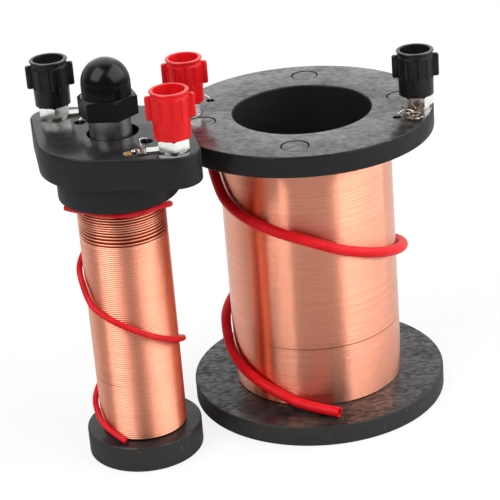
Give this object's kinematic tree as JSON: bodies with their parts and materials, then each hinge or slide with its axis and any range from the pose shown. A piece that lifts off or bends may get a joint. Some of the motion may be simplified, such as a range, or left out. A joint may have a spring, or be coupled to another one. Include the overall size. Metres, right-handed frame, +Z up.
{
  "type": "primary and secondary coil set",
  "caption": "Primary and secondary coils on black flanged bobbins, with red sleeves, screw binding posts and a removable capped iron core, for showing induction.",
  "frame": {"origin": "on the axis of the secondary coil's bore, at the table that both coils stand on", "axes": "+Z up along the secondary's bore; -Y faces the viewer of the picture, +X is to the picture's right"},
  "size_m": [0.0996, 0.0768, 0.1025],
  "materials": {
    "bobbin_plastic": "black moulded plastic, top faces scuffed to grey",
    "winding_copper": "enamelled copper wire, bright satin along the turns",
    "sleeve_red": "soft red insulating sleeve, satin",
    "knob_red": "red moulded plastic, satin",
    "knob_black": "black moulded plastic, satin",
    "cap_black": "black moulded plastic, polished dome",
    "nickel_plate": "nickel-plated brass",
    "insert_brass": "plain turned brass",
    "core_iron": "ground soft iron"
  },
  "bodies": {
    "secondary": {"secondary_tube": "bobbin_plastic", "secondary_top_flange": "bobbin_plastic", "secondary_bottom_flange": "bobbin_plastic", "secondary_inner_layers": "winding_copper", "secondary_outer_layer": "winding_copper", "secondary_sleeve": "sleeve_red", "secondary_red_lead": "winding_copper", "secondary_red_stud": "nickel_plate", "secondary_red_nut": "nickel_plate", "secondary_red_tag": "nickel_plate", "secondary_black_lead": "winding_copper", "secondary_black_stud": "nickel_plate", "secondary_black_nut": "nickel_plate", "secondary_black_tag": "nickel_plate"},
    "primary": {"primary_tube": "bobbin_plastic", "primary_head": "bobbin_plastic", "primary_foot": "bobbin_plastic", "primary_inner_layers": "winding_copper", "primary_packed_turns": "winding_copper", "primary_loose_turns": "winding_copper", "primary_sleeve": "sleeve_red", "primary_red_lead": "winding_copper", "primary_red_stud": "nickel_plate", "primary_red_nut": "nickel_plate", "primary_red_tag": "nickel_plate", "primary_black_lead": "winding_copper", "primary_black_stud": "nickel_plate", "primary_black_nut": "nickel_plate", "primary_black_tag": "nickel_plate"},
    "core": {"core_rod": "core_iron", "core_cap": "cap_black"},
    "secondary_red_insert": {"secondary_red_insert": "insert_brass"},
    "secondary_red_knob": {"secondary_red_knob": "knob_red"},
    "secondary_black_insert": {"secondary_black_insert": "insert_brass"},
    "secondary_black_knob": {"secondary_black_knob": "knob_black"},
    "primary_red_insert": {"primary_red_insert": "insert_brass"},
    "primary_red_knob": {"primary_red_knob": "knob_red"},
    "primary_black_insert": {"primary_black_insert": "insert_brass"},
    "primary_black_knob": {"primary_black_knob": "knob_black"}
  },
  "joints": [
    {"name": "primary_lift", "type": "slide", "parent": "secondary", "child": "primary", "axis": [0, 0, 1], "range_m": [0, 0.1]},
    {"name": "core_lift", "type": "slide", "parent": "primary", "child": "core", "axis": [0, 0, 1], "range_m": [0, 0.095]},
    {"name": "secondary_red_insert_rise", "type": "slide", "parent": "secondary", "child": "secondary_red_insert", "axis": [0, 0, 1], "range_m": [0, 0.00275]},
    {"name": "secondary_red_knob_turn", "type": "hinge", "parent": "secondary_red_insert", "child": "secondary_red_knob", "pos_m": [-0.02811, 0.00405, 0.0803], "axis": [0, 0, 1], "range_deg": [0, 990]},
    {"name": "secondary_black_insert_rise", "type": "slide", "parent": "secondary", "child": "secondary_black_insert", "axis": [0, 0, 1], "range_m": [0, 0.00275]},
    {"name": "secondary_black_knob_turn", "type": "hinge", "parent": "secondary_black_insert", "child": "secondary_black_knob", "pos_m": [0.02811, -0.00405, 0.0803], "axis": [0, 0, 1], "range_deg": [0, 990]},
    {"name": "primary_red_insert_rise", "type": "slide", "parent": "primary", "child": "primary_red_insert", "axis": [0, 0, 1], "range_m": [0, 0.00275]},
    {"name": "primary_red_knob_turn", "type": "hinge", "parent": "primary_red_insert", "child": "primary_red_knob", "pos_m": [-0.03084, -0.0383, 0.0871], "axis": [0, 0, 1], "range_deg": [0, 990]},
    {"name": "primary_black_insert_rise", "type": "slide", "parent": "primary", "child": "primary_black_insert", "axis": [0, 0, 1], "range_m": [0, 0.00275]},
    {"name": "primary_black_knob_turn", "type": "hinge", "parent": "primary_black_insert", "child": "primary_black_knob", "pos_m": [-0.05983, -0.0093, 0.0871], "axis": [0, 0, 1], "range_deg": [0, 990]}
  ],
  "couplings": [
    {"joint": "secondary_red_knob_turn", "follows": "secondary_red_insert_rise", "rad_per_m": 6283.2},
    {"joint": "secondary_black_knob_turn", "follows": "secondary_black_insert_rise", "rad_per_m": 6283.2},
    {"joint": "primary_red_knob_turn", "follows": "primary_red_insert_rise", "rad_per_m": 6283.2},
    {"joint": "primary_black_knob_turn", "follows": "primary_black_insert_rise", "rad_per_m": 6283.2}
  ]
}
